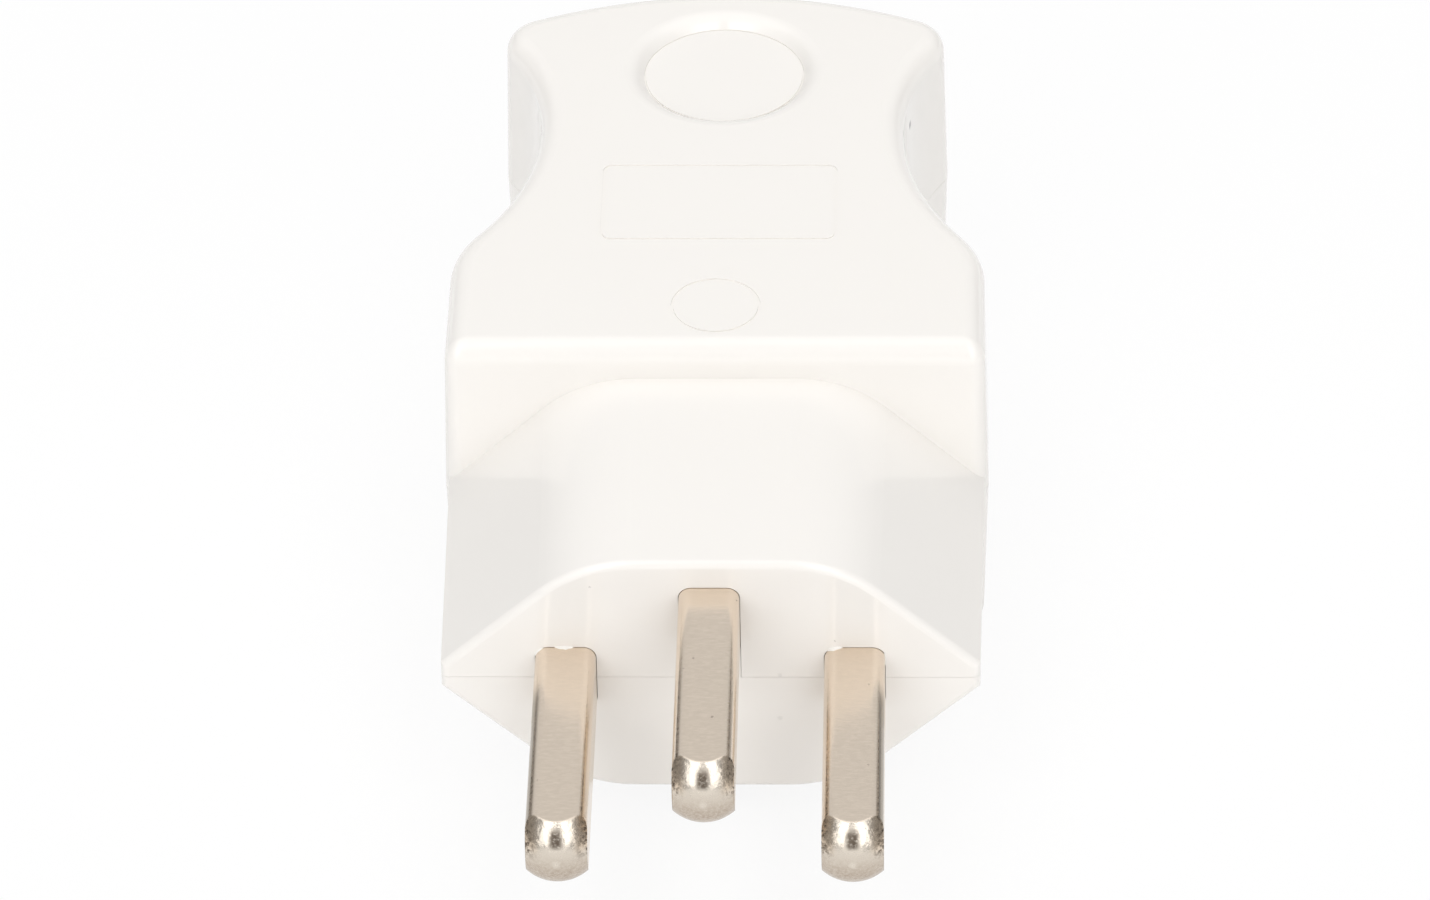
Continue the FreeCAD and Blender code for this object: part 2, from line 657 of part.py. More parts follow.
def make_pin(name, across, up):
    """Flat-sided contact pin with a domed tip, a collar and a terminal head, lying along Y."""
    body = doc.addObject("PartDesign::Body", name)
    contact = new_sketch(body, "contact", "XZ_Plane", "-pin_reach")
    draw_rounded_box(contact, "0", "0", "pin_wide", "pin_tall", "pin_edge")
    pad(body, "contact", contact, "pin_reach + face_wall + pin_clear + collar_long")
    dome = new_sketch(body, "dome", "XY_Plane")
    draw_dome(dome)
    groove(body, "dome", dome)
    collar = new_sketch(body, "collar", "XZ_Plane", "face_wall + pin_clear")
    draw_box(collar, "-collar_wide / 2", "collar_wide / 2", "-pin_tall / 2", "pin_tall / 2")
    pad(body, "collar", collar, "collar_long")
    shank = new_sketch(body, "shank", "XZ_Plane", "face_wall")
    draw_box(shank, "-pin_wide / 2", "pin_wide / 2", "-shank_tall / 2", "shank_tall / 2")
    pad(body, "shank", shank, f"{HEAD_PLACE} - face_wall")
    head = new_sketch(body, "head", "XZ_Plane", HEAD_PLACE)
    draw_rounded_box(head, "0", "0", "head_wide", "head_tall", "head_edge")
    pad(body, "head", head, "head_long")
    wire = new_sketch(body, "wire", "XZ_Plane", f"{HEAD_PLACE} + wire_stop")
    draw_circle(wire, "0", "0", "wire_bore")
    pocket(body, "wire", wire, "head_long - wire_stop")
    hole(body, "screw", "0", TERMINAL_PLACE, "terminal_core + screw_clear", "-head_tall / 2", "head_tall / 2")
    body.setExpression("Placement.Base.x", cells(across))
    body.setExpression("Placement.Base.z", cells(up))
    return body


def draw_dome(sketch):
    """What lies outside a ball at the pin's tip, as a profile beside the pin's axis."""
    tip, foot = size("-pin_reach"), size("pin_dome - pin_reach")
    radius, clear = size("pin_dome"), size("pin_dome + pin_edge")
    ball = add_arc(sketch, (0, foot), radius, -math.pi / 2, 0)
    out = add_line(sketch, (radius, foot), (clear, foot))
    down = add_line(sketch, (clear, foot), (clear, tip - OVERCUT))
    under = add_line(sketch, (clear, tip - OVERCUT), (0, tip - OVERCUT))
    axis = add_line(sketch, (0, tip - OVERCUT), (0, tip))
    ring = [ball, out, down, under, axis]
    for item, after in zip(ring, ring[1:] + ring[:1]):
        relate(sketch, "Coincident", item, END, after, START)
    bind_point(sketch, ball, CENTRE, "0", "pin_dome - pin_reach")
    bind(sketch, "Radius", ball, to="pin_dome")
    relate(sketch, "PointOnObject", ball, START, UP_AXIS)
    relate(sketch, "Horizontal", out)
    relate(sketch, "Vertical", down)
    relate(sketch, "Horizontal", under)
    relate(sketch, "Vertical", axis)
    bind(sketch, "DistanceY", ORIGIN, START, out, START, to="pin_dome - pin_reach")
    bind(sketch, "DistanceX", ORIGIN, START, down, START, to="pin_dome + pin_edge")
    bind(sketch, "DistanceY", ORIGIN, START, under, START, to=f"-pin_reach - {OVERCUT}")


# Cord clamp and screws

def make_cord_clamp():
    """Moulded bar across the cord, with a biting ridge and two screw holes."""
    body = doc.addObject("PartDesign::Body", "cord_clamp")
    bar = new_sketch(body, "bar", "XY_Plane", "-clamp_drop - clamp_thick")
    draw_rounded_box(bar, "0", CLAMP_PLACE, CLAMP_LONG, "clamp_wide", "clamp_edge")
    pad(body, "bar", bar, "clamp_thick")
    bite = new_sketch(body, "bite", "XZ_Plane", f"{CLAMP_PLACE} - clamp_bite / 2")
    draw_polygon(bite, [
        ("-saddle_bore / 2", "-clamp_drop - clamp_bite"),
        ("saddle_bore / 2", "-clamp_drop - clamp_bite"),
        ("saddle_bore / 2 - clamp_bite", "-clamp_drop + clamp_bite"),
        ("clamp_bite - saddle_bore / 2", "-clamp_drop + clamp_bite"),
    ])
    pad(body, "bite", bite, "clamp_bite")
    for name, across in (("hole_a", CLAMP_ACROSS), ("hole_b", f"-({CLAMP_ACROSS})")):
        hole(body, name, across, CLAMP_PLACE, "clamp_core + screw_play", "-clamp_drop - clamp_thick",
             "clamp_thick")
    return body


def make_screw(name, kind, across, along, seat):
    """Slotted screw under its seat: the head hangs below the height seat, the core stands above it."""
    body = doc.addObject("PartDesign::Body", name)
    turned = new_sketch(body, "turned", "XZ_Plane")
    core, head = f"{kind}_core / 2", f"{kind}_head / 2"
    head_tall, reach = f"{kind}_head_tall", f"{kind}_reach"
    draw_polygon(turned, [
        ("0", f"-{head_tall}"),
        (f"{head} - head_round", f"-{head_tall}"),
        (head, f"head_round - {head_tall}"),
        (head, "0"),
        (core, "0"),
        (core, f"{reach} - {core}"),
        (f"{core} / 2", reach),
        ("0", reach),
    ])
    feature = body.newObject("PartDesign::Revolution", f"{name}_turned")
    feature.Profile = turned
    feature.ReferenceAxis = (turned, ["V_Axis"])
    feature.Angle = 360
    doc.recompute()
    slot = new_sketch(body, "slot", "XY_Plane", f"-{head_tall}")
    draw_box(slot, f"-{head}", head, "-driver_slot / 2", "driver_slot / 2")
    pocket(body, "slot", slot, "driver_depth")
    for axis, place in (("x", across), ("y", along), ("z", seat)):
        body.setExpression(f"Placement.Base.{axis}", cells(place))
    return body


def make_screws(name, kind, places):
    """One node that holds a group of like screws."""
    group = doc.addObject("Part::Compound", name)
    group.Links = [make_screw(f"{kind}_screw_{i}", kind, *place) for i, place in enumerate(places, 1)]
    return group


def check_document():
    doc.recompute()
    for item in doc.Objects:
        if {"Invalid", "Error"} & set(item.State):
            raise RuntimeError(f"{item.Name} failed: {item.State}")


def write_parts(pieces):
    for piece in pieces:
        if piece.Shape.isNull() or not piece.Shape.isValid():
            raise RuntimeError(f"{piece.Label} has no valid shape")
    os.makedirs("parts", exist_ok=True)
    for piece in pieces:
        piece.Shape.exportStep(f"parts/{piece.Label}.step")


pieces = [
    make_upper_shell(),
    make_lower_shell(),
    make_pin("live_pin", "-pin_gap / 2", "0"),
    make_pin("neutral_pin", "pin_gap / 2", "0"),
    make_pin("earth_pin", "0", "earth_rise"),
    make_cord_clamp(),
    make_screws("terminal_screws", "terminal", [
        ("-pin_gap / 2", TERMINAL_PLACE, "-head_tall / 2"),
        ("pin_gap / 2", TERMINAL_PLACE, "-head_tall / 2"),
        ("0", TERMINAL_PLACE, "earth_rise - head_tall / 2"),
    ]),
    make_screws("cord_clamp_screws", "clamp", [
        (f"-({CLAMP_ACROSS})", CLAMP_PLACE, "-clamp_drop - clamp_thick"),
        (CLAMP_ACROSS, CLAMP_PLACE, "-clamp_drop - clamp_thick"),
    ]),
    make_screws("housing_screws", "housing", [
        (f"-({BOSS_ACROSS})", BOSS_PLACE, "-screw_seat"),
        (BOSS_ACROSS, BOSS_PLACE, "-screw_seat"),
    ]),
]
check_document()
write_parts(pieces)
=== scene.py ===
"""Looks of a white rewirable type J plug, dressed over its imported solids.

Metres, in the frame of the solids: the origin is the middle of the face that meets the socket,
the pins point along -Y and +Z is up.
"""

import math

import bpy
from mathutils import Matrix, Vector, noise


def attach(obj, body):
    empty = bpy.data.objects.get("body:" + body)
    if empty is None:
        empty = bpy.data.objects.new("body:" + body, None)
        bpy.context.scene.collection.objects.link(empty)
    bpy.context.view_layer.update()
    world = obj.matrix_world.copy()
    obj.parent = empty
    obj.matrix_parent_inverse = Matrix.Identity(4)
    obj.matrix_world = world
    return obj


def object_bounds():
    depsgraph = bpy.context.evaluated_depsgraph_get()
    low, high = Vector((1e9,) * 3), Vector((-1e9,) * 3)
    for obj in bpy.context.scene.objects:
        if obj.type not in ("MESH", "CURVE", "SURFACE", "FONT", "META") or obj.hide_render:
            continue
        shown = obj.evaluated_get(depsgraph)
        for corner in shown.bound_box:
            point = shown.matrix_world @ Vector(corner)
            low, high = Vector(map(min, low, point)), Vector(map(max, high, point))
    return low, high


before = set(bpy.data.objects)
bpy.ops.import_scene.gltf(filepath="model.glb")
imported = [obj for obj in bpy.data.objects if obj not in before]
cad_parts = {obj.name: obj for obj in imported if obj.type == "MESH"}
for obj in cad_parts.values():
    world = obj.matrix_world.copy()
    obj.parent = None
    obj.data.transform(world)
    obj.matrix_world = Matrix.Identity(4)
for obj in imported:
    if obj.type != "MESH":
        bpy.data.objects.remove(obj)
cad_low, cad_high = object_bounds()
scene = bpy.context.scene
scene.view_settings.view_transform = "Standard"


# Contact pins: flat brass bars with ball ends, barrel plated with nickel.
# Tumbling in the plating drum leaves a fine grain, and use has rubbed the tips bright and dirty; dark
# reflections on the tips and on the outer edges of the live and neutral pins are painted into their
# colour.
# Each is trapped by its collar and its terminal head between the ribs of the two shells.

NICKEL_FLAT = (0.80, 0.695, 0.583, 1.0)
NICKEL_GRAIN = (0.85, 0.74, 0.622, 1.0)
NICKEL_TIP = (0.735, 0.665, 0.575, 1.0)
# Painted dim reflection for the lower half of the tips
NICKEL_PAINTED_LOW_REFLECTION = (0.43, 0.345, 0.272, 1.0)
NICKEL_TARNISH = (0.77, 0.635, 0.495, 1.0)
# Painted dark reflection for the outer long edges of the live and neutral pins
NICKEL_PAINTED_EDGE_DARK = (0.40, 0.355, 0.30, 1.0)
# Dirt, and also the painted dark reflection on the tips' brow
NICKEL_DIRT_AND_DARK_REFLECTION = (0.13, 0.10, 0.075, 1.0)
NICKEL_GRAIN_SIZES = {"Stretch": (0.3, 1.0, 1.0), "Fine": 7000.0, "Cloud": 2400.0}
NICKEL_PIT_SIZES = {"Scale": 1500.0, "Size": 0.14, "Amount": 0.06}
TIP_MOTTLE_SIZES = {"Scale": 4500.0, "Detail": 5.0, "Roughness": 0.65}
# Each pair says where a mask starts and where it is full
GRAIN_SHOWS = (0.35, 0.75)
TIP_FACING = (-0.02, -0.12)
# Where the painted dark reflection on the outer edges lies
PAINTED_EDGE_DARK_OUTER = (0.0045, 0.0085)
PAINTED_EDGE_DARK_ALONG = (-0.0030, -0.0055)
PAINTED_EDGE_DARK_FADE = (0.995, 0.94)
SMUDGE_SIDE_FACING = (0.36, 0.62)
SMUDGE_SIDE_UP = (0.0, 0.25)
SMUDGE_SIDE_CLOUD = (0.42, 0.62)
# Where the painted dark reflection on the tips' brow lies
PAINTED_BROW_FROM = (0.32, 0.46)
PAINTED_BROW_TO = (0.82, 0.62)
PAINTED_BROW_MIDDLE = (0.20, 0.05)
PAINTED_BROW_CLOUD = (0.25, 0.53)
TARNISH_FACING = (0.30, 0.55)
TARNISH_UP = (0.10, 0.40)
# Where the painted dim reflection on the tips' lower half lies
PAINTED_LOW_REFLECTION_DOWN = (0.40, -0.45)
PAINTED_LOW_REFLECTION_CLOUD = (0.0, 0.80)
# Each share says how far a full mask takes the metal to the dark colour of dirt and painted reflection
DIRT_AND_REFLECTION_SHARE = 0.96
PIT_SHARE = 0.45
NICKEL_ROUGH = 0.17
TIP_SMOOTHER = 0.05
GRAIN_ROUGHER = 0.10
TIP_CLOUD_ROUGHER = 0.16
MARKS_ROUGHER = 0.25
PIN_EDGE_RADIUS = 0.0002
TIP_DENTS = 9.0
RELIEF_DEPTH = 0.00001
PIT_BEND = 0.0004
WELD_REACH = 1e-6
SMOOTH_ANGLE = math.radians(26)
FLAT_FACE_WEIGHT = 80


def new_material(name):
    """A node material, with its node tree and its shader."""
    material = bpy.data.materials.new(name)
    material.use_nodes = True
    return material, material.node_tree, material.node_tree.nodes["Principled BSDF"]


def add_node(tree, kind, inputs=None, **settings):
    """A node with its settings, its input values and its incoming links."""
    node = tree.nodes.new(kind)
    for key, value in settings.items():
        setattr(node, key, value)
    for key, value in (inputs or {}).items():
        if isinstance(value, bpy.types.NodeSocket):
            tree.links.new(value, node.inputs[key])
        else:
            node.inputs[key].default_value = value
    return node


def new_group(name, inputs, outputs):
    """An empty shader node group with named float or vector sockets."""
    group = bpy.data.node_groups.new(name, "ShaderNodeTree")
    for label, kind in inputs:
        group.interface.new_socket(label, in_out="INPUT", socket_type=kind)
    for label, kind in outputs:
        group.interface.new_socket(label, in_out="OUTPUT", socket_type=kind)
    given = group.nodes.new("NodeGroupInput").outputs
    result = group.nodes.new("NodeGroupOutput").inputs
    return group, given, result


def ramp(tree, value, start, full):
    """0 up to start, 1 from full on, smooth between them."""
    node = add_node(tree, "ShaderNodeMapRange",
                    {"Value": value, "From Min": start, "From Max": full})
    node.interpolation_type = "SMOOTHSTEP"
    return node.outputs["Result"]


def maths(tree, operation, first, *others):
    """One operation on two values, or on more of them from left to right."""
    result = first
    for other in others:
        node = add_node(tree, "ShaderNodeMath", {0: result, 1: other}, operation=operation)
        result = node.outputs[0]
    return result


def size_of(tree, value):
    """A value without its sign."""
    return add_node(tree, "ShaderNodeMath", {0: value}, operation="ABSOLUTE").outputs[0]


def blend_colours(tree, factor, first, second):
    """First colour where factor is 0, second where it is 1."""
    # A Mix node has several sockets of each name, so its colour sockets are given by number
    node = add_node(tree, "ShaderNodeMix", {0: factor, 6: first, 7: second}, data_type="RGBA")
    return node.outputs[2]


def make_grain_group():
    """Fine uneven grain: a soft cloud, and a fine noise stretched by the Stretch input."""
    group, given, result = new_group(
        "surface_grain",
        [("Vector", "NodeSocketVector"), ("Stretch", "NodeSocketVector"),
         ("Fine", "NodeSocketFloat"), ("Cloud", "NodeSocketFloat")],
        [("Fine", "NodeSocketFloat"), ("Cloud", "NodeSocketFloat")])
    stretched = add_node(group, "ShaderNodeVectorMath", {0: given["Vector"], 1: given["Stretch"]},
                         operation="MULTIPLY").outputs[0]
    fine = add_node(group, "ShaderNodeTexNoise",
                    {"Vector": stretched, "Scale": given["Fine"], "Detail": 4.0, "Roughness": 0.6})
    cloud = add_node(group, "ShaderNodeTexNoise",
                     {"Vector": given["Vector"], "Scale": given["Cloud"], "Detail": 2.0,
                      "Roughness": 0.5})
    group.links.new(fine.outputs[0], result["Fine"])
    group.links.new(cloud.outputs[0], result["Cloud"])
    return group


def make_pits_group():
    """Scattered small pits: the middles of a bent cell pattern, in a share of its cells."""
    group, given, result = new_group(
        "scattered_pits",
        [("Vector", "NodeSocketVector"), ("Scale", "NodeSocketFloat"),
         ("Size", "NodeSocketFloat"), ("Amount", "NodeSocketFloat")],
        [("Mask", "NodeSocketFloat")])
    bent = add_node(group, "ShaderNodeTexNoise",
                    {"Vector": given["Vector"], "Scale": 1800.0, "Detail": 2.0}).outputs[1]
    shift = add_node(group, "ShaderNodeVectorMath", {0: bent, 1: (PIT_BEND, PIT_BEND, PIT_BEND)},
                     operation="MULTIPLY").outputs[0]
    moved = add_node(group, "ShaderNodeVectorMath", {0: given["Vector"], 1: shift},
                     operation="ADD").outputs[0]
    cells = add_node(group, "ShaderNodeTexVoronoi", {"Vector": moved, "Scale": given["Scale"]})
    near = maths(group, "LESS_THAN", cells.outputs["Distance"], given["Size"])
    chosen = add_node(group, "ShaderNodeSeparateColor", {0: cells.outputs["Color"]}).outputs[0]
    kept = maths(group, "LESS_THAN", chosen, given["Amount"])
    group.links.new(maths(group, "MULTIPLY", near, kept), result["Mask"])
    return group


def use_group(tree, group, place, sizes):
    """The outputs of a group that is placed in a material with its own values."""
    return add_node(tree, "ShaderNodeGroup", {"Vector": place, **sizes}, node_tree=group).outputs


def dress(node, material):
    """Gives a solid its material, and keeps its flat faces flat and its round ones smooth."""
    node.data.materials.clear()
    node.data.materials.append(material)
    weld = node.modifiers.new("weld", "WELD")
    weld.merge_threshold = WELD_REACH
    split = node.modifiers.new("split", "EDGE_SPLIT")
    split.split_angle = SMOOTH_ANGLE
    split.use_edge_sharp = False
    normals = node.modifiers.new("normals", "WEIGHTED_NORMAL")
    normals.mode = "FACE_AREA"
    normals.weight = FLAT_FACE_WEIGHT
    normals.keep_sharp = True


grain = make_grain_group()
pits = make_pits_group()

nickel, tree, shader = new_material("nickel_plated_brass")
place = add_node(tree, "ShaderNodeTexCoord").outputs["Object"]
where = add_node(tree, "ShaderNodeSeparateXYZ", {0: place}).outputs
normal = add_node(tree, "ShaderNodeNewGeometry").outputs["Normal"]
facing = add_node(tree, "ShaderNodeSeparateXYZ", {0: normal}).outputs
sideways = size_of(tree, facing["X"])
texture = use_group(tree, grain, place, NICKEL_GRAIN_SIZES)
pitted = use_group(tree, pits, place, NICKEL_PIT_SIZES)["Mask"]
domed = ramp(tree, facing["Y"], *TIP_FACING)

# Painted dark reflection: the outer long edges of the live and neutral pins are painted darker away
# from the face, but not their flat sides
outwards = maths(tree, "MULTIPLY", facing["X"], where["X"])
painted_edge_reflection = maths(tree, "MULTIPLY",
                  ramp(tree, outwards, *PAINTED_EDGE_DARK_OUTER),
                  ramp(tree, where["Y"], *PAINTED_EDGE_DARK_ALONG),
                  ramp(tree, sideways, *PAINTED_EDGE_DARK_FADE))

# Dirt clings to the tips' upper sides, and a brow over the middle of each tip is painted dark: a
# painted dark reflection, broken up by a cloud
tip_mottle = add_node(tree, "ShaderNodeTexNoise", {"Vector": place, **TIP_MOTTLE_SIZES}).outputs[0]
upper_sides = maths(tree, "MULTIPLY",
                    ramp(tree, tip_mottle, *SMUDGE_SIDE_CLOUD),
                    ramp(tree, sideways, *SMUDGE_SIDE_FACING),
                    ramp(tree, facing["Z"], *SMUDGE_SIDE_UP))
painted_reflection_brow = maths(tree, "MULTIPLY",
             ramp(tree, tip_mottle, *PAINTED_BROW_CLOUD),
             ramp(tree, facing["Z"], *PAINTED_BROW_FROM),
             ramp(tree, facing["Z"], *PAINTED_BROW_TO),
             ramp(tree, sideways, *PAINTED_BROW_MIDDLE))
dirt_and_painted_reflection = maths(tree, "MULTIPLY", maths(tree, "MAXIMUM", upper_sides, painted_reflection_brow), domed)
marks_and_painted_reflection = maths(tree, "MAXIMUM",
              maths(tree, "MULTIPLY", dirt_and_painted_reflection, DIRT_AND_REFLECTION_SHARE),
              maths(tree, "MULTIPLY", pitted, PIT_SHARE))

# The tips are tarnished brown on their upper sides, and their lower half is painted darker: a painted
# dim reflection of the table under them
tarnished = maths(tree, "MULTIPLY",
                  ramp(tree, sideways, *TARNISH_FACING),
                  ramp(tree, facing["Z"], *TARNISH_UP))
painted_low_reflection = maths(tree, "MULTIPLY",
             ramp(tree, tip_mottle, *PAINTED_LOW_REFLECTION_CLOUD),
             ramp(tree, facing["Z"], *PAINTED_LOW_REFLECTION_DOWN),
             domed)

tip = blend_colours(tree, tarnished, NICKEL_TIP, NICKEL_TARNISH)
metal = blend_colours(tree, ramp(tree, texture["Fine"], *GRAIN_SHOWS), NICKEL_FLAT, NICKEL_GRAIN)
# Painted dark reflection on the outer edges
metal = blend_colours(tree, painted_edge_reflection, metal, NICKEL_PAINTED_EDGE_DARK)
metal = blend_colours(tree, domed, metal, tip)
# Painted dim reflection on the lower half of the tips
metal = blend_colours(tree, painted_low_reflection, metal, NICKEL_PAINTED_LOW_REFLECTION)
# Dirt and pits, with the painted dark reflection on the tips' brow
metal = blend_colours(tree, marks_and_painted_reflection, metal, NICKEL_DIRT_AND_DARK_REFLECTION)
tip_cloud = maths(tree, "MULTIPLY", texture["Cloud"], domed)
roughness = maths(tree, "ADD",
                  maths(tree, "SUBTRACT", NICKEL_ROUGH, maths(tree, "MULTIPLY", domed, TIP_SMOOTHER)),
                  maths(tree, "MULTIPLY", texture["Fine"], GRAIN_ROUGHER),
                  maths(tree, "MULTIPLY", tip_cloud, TIP_CLOUD_ROUGHER),
                  maths(tree, "MULTIPLY", marks_and_painted_reflection, MARKS_ROUGHER))
height = maths(tree, "ADD",
               maths(tree, "SUBTRACT", texture["Fine"], marks_and_painted_reflection),
               maths(tree, "MULTIPLY", tip_cloud, TIP_DENTS))
rounded = add_node(tree, "ShaderNodeBevel", {"Radius": PIN_EDGE_RADIUS}, samples=6).outputs[0]
relief = add_node(tree, "ShaderNodeBump", {"Height": height, "Normal": rounded,
                                           "Distance": RELIEF_DEPTH, "Strength": 0.35}).outputs[0]
tree.links.new(metal, shader.inputs["Base Color"])
tree.links.new(roughness, shader.inputs["Roughness"])
tree.links.new(relief, shader.inputs["Normal"])
shader.inputs["Metallic"].default_value = 1.0
for name in ("live_pin", "neutral_pin", "earth_pin"):
    dress(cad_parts[name], nickel)


# Screws: slotted steel screws with a zinc coat.
# Three press the wires into the pins' heads, two hold the cord clamp and two hold the shells together.

ZINC = (0.46, 0.46, 0.45, 1.0)
ZINC_WORN = (0.60, 0.59, 0.56, 1.0)
ZINC_GRAIN_SIZES = {"Stretch": (1.0, 1.0, 0.2), "Fine": 6000.0, "Cloud": 700.0}
ZINC_ROUGH = 0.25
ZINC_GRAIN_ROUGHER = 0.25


def grained_finish(name, sizes, first, second, rough, grain_rougher):
    """A material with a cloudy blend of two colours, and grain in its gloss."""
    material, tree, shader = new_material(name)
    place = add_node(tree, "ShaderNodeTexCoord").outputs["Object"]
    texture = use_group(tree, grain, place, sizes)
    colour = blend_colours(tree, texture["Cloud"], first, second)
    roughness = maths(tree, "ADD", maths(tree, "MULTIPLY", texture["Fine"], grain_rougher), rough)
    tree.links.new(colour, shader.inputs["Base Color"])
    tree.links.new(roughness, shader.inputs["Roughness"])
    return material, place, texture, colour


zinc = grained_finish("zinc_plated_steel", ZINC_GRAIN_SIZES, ZINC, ZINC_WORN,
                      ZINC_ROUGH, ZINC_GRAIN_ROUGHER)[0]
zinc.node_tree.nodes["Principled BSDF"].inputs["Metallic"].default_value = 1.0
for name in ("terminal_screws", "cord_clamp_screws", "housing_screws"):
    dress(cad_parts[name], zinc)


# Cord clamp: a bar moulded in plain off-white plastic.
# It lies across the cord behind its entry, and two screws pull it up to posts in the upper shell.

CLAMP_WHITE = (0.80, 0.78, 0.73, 1.0)
CLAMP_SHADE = (0.74, 0.72, 0.67, 1.0)
CLAMP_GRAIN_SIZES = {"Stretch": (1.0, 1.0, 1.0), "Fine": 5000.0, "Cloud": 300.0}
CLAMP_ROUGH = 0.35
CLAMP_GRAIN_ROUGHER = 0.15

clamp_plastic = grained_finish("clamp_plastic", CLAMP_GRAIN_SIZES, CLAMP_WHITE, CLAMP_SHADE,
                               CLAMP_ROUGH, CLAMP_GRAIN_ROUGHER)[0]
dress(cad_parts["cord_clamp"], clamp_plastic)


# Housing shells: two injection-moulded halves in glossy warm white plastic that meet at mid height.
# A faint orange peel is left by the mould, and handling has left a speck and a few faint scuffs.

SHELL_WHITE = (0.932, 0.906, 0.870, 1.0)
SHELL_CLOUD = (0.922, 0.894, 0.856, 1.0)
SHELL_MARK = (0.16, 0.15, 0.15, 1.0)
SHELL_GRAIN_SIZES = {"Stretch": (1.0, 1.0, 1.0), "Fine": 2600.0, "Cloud": 60.0}
SHELL_ROUGH = 0.04
SHELL_GRAIN_ROUGHER = 0.06
# Place, radius and strength of each handling mark
SHELL_SPECKS = [
    ((0.01300, 0.05008, 0.00881), 0.00042, 0.9),
    ((0.00457, 0.0, 0.00018), 0.00022, 0.12),
    ((0.00453, 0.0, -0.00349), 0.00024, 0.12),
    ((-0.00775, 0.0, 0.00759), 0.00010, 0.3),
    ((0.00821, 0.0, 0.00307), 0.00008, 0.3),
]
SPECK_RAGGED = 0.00035
SPECK_CORE = 0.3
NOISE_MIDDLE = 0.5

shell_plastic, place, texture, clouded = grained_finish(
    "glossy_white_plastic", SHELL_GRAIN_SIZES, SHELL_WHITE, SHELL_CLOUD,
    SHELL_ROUGH, SHELL_GRAIN_ROUGHER)
tree = shell_plastic.node_tree
shader = tree.nodes["Principled BSDF"]
uneven = add_node(tree, "ShaderNodeTexNoise",
                  {"Vector": place, "Scale": 9000.0, "Detail": 3.0}).outputs[0]
ragged_shift = maths(tree, "MULTIPLY", maths(tree, "SUBTRACT", uneven, NOISE_MIDDLE), SPECK_RAGGED)
specks = 0.0
for centre, radius, strength in SHELL_SPECKS:
    far = add_node(tree, "ShaderNodeVectorMath", {0: place, 1: centre},
                   operation="DISTANCE").outputs["Value"]
    speck = ramp(tree, maths(tree, "ADD", far, ragged_shift), radius, SPECK_CORE * radius)
    specks = maths(tree, "MAXIMUM", maths(tree, "MULTIPLY", speck, strength), specks)
relief = add_node(tree, "ShaderNodeBump", {"Height": texture["Fine"], "Distance": RELIEF_DEPTH,
                                           "Strength": 0.10}).outputs[0]
tree.links.new(blend_colours(tree, specks, clouded, SHELL_MARK), shader.inputs["Base Color"])
tree.links.new(relief, shader.inputs["Normal"])
shader.inputs["IOR"].default_value = 1.5
for name in ("lower_shell", "upper_shell"):
    dress(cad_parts[name], shell_plastic)


# Flash: thin ragged skins of the housing's plastic at two pin openings.
# The mould left them at the edge of the slots, and they were pressed flat along the pins.

PIN_HALF_WIDE = 0.0020
PIN_HALF_TALL = 0.0025
PIN_CORNER = 0.00085
FLASH_THICK = 0.00006
FLASH_STEPS = 36
FLASH_RAGGED = 0.5
FLASH_RAGGED_ALONG = 4000
FLASH_RAGGED_ACROSS = 1000
FLASH_END = 0.05
# Section of a skin: height in thicknesses, and share of its reach along the pin
FLASH_SECTION = [(0.0, 0.0), (0.0, 1.0), (0.35, 1.0), (0.9, 0.5), (1.3, 0.0)]
# Name, the pin's place across, middle and half length round the pin from its top middle,
# and reach along the pin
FLASHES = [
    ("live_flash_top", -0.0095, -0.00008, 0.00062, 0.00022),
    ("live_flash_corner", -0.0095, -0.00190, 0.00045, 0.00012),
    ("neutral_flash_corner", 0.0095, -0.00135, 0.00055, 0.00024),
    ("neutral_flash_side", 0.0095, 0.00260, 0.00050, 0.00012),
]


def outline_point(along):
    """Point and outward direction on a pin's outline, at a distance round it from the top middle."""
    flat = PIN_HALF_WIDE - PIN_CORNER
    bend = PIN_CORNER * math.pi / 2
    side = 1.0 if along >= 0 else -1.0
    rest = abs(along)
    if rest <= flat:
        return (side * rest, PIN_HALF_TALL), (0.0, 1.0)
    if rest <= flat + bend:
        turn = (rest - flat) / PIN_CORNER
        out = (side * math.sin(turn), math.cos(turn))
        x = side * flat + PIN_CORNER * out[0]
        z = PIN_HALF_TALL - PIN_CORNER + PIN_CORNER * out[1]
        return (x, z), out
    return (side * PIN_HALF_WIDE, PIN_HALF_TALL - PIN_CORNER - (rest - flat - bend)), (side, 0.0)


def make_flash(name, across, middle, half_long, reach):
    """A skin that tapers to both ends: a run of equal sections, closed at the first and the last."""
    points = []
    for step in range(FLASH_STEPS + 1):
        share = 2 * step / FLASH_STEPS - 1
        along = middle + share * half_long
        ragged = noise.noise(Vector((along * FLASH_RAGGED_ALONG, across * FLASH_RAGGED_ACROSS, 0.0)))
        grown = reach * max(FLASH_END, (1 - share ** 2) * (1 + FLASH_RAGGED * ragged))
        (x, z), (out_x, out_z) = outline_point(along)
        for lift, forward in FLASH_SECTION:
            thick = lift * FLASH_THICK
            points.append((across + x + thick * out_x, -grown * forward, z + thick * out_z))
    count = len(FLASH_SECTION)
    last = count * FLASH_STEPS
    faces = [tuple(range(count)), tuple(last + i for i in reversed(range(count)))]
    for start in range(0, last, count):
        for i in range(count):
            after = (i + 1) % count
            faces.append((start + i, start + count + i, start + count + after, start + after))
    mesh = bpy.data.meshes.new(name)
    mesh.from_pydata(points, [], faces)
    mesh.materials.append(shell_plastic)
    piece = bpy.data.objects.new(name, mesh)
    scene.collection.objects.link(piece)
    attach(piece, "root")


for flash in FLASHES:
    make_flash(*flash)


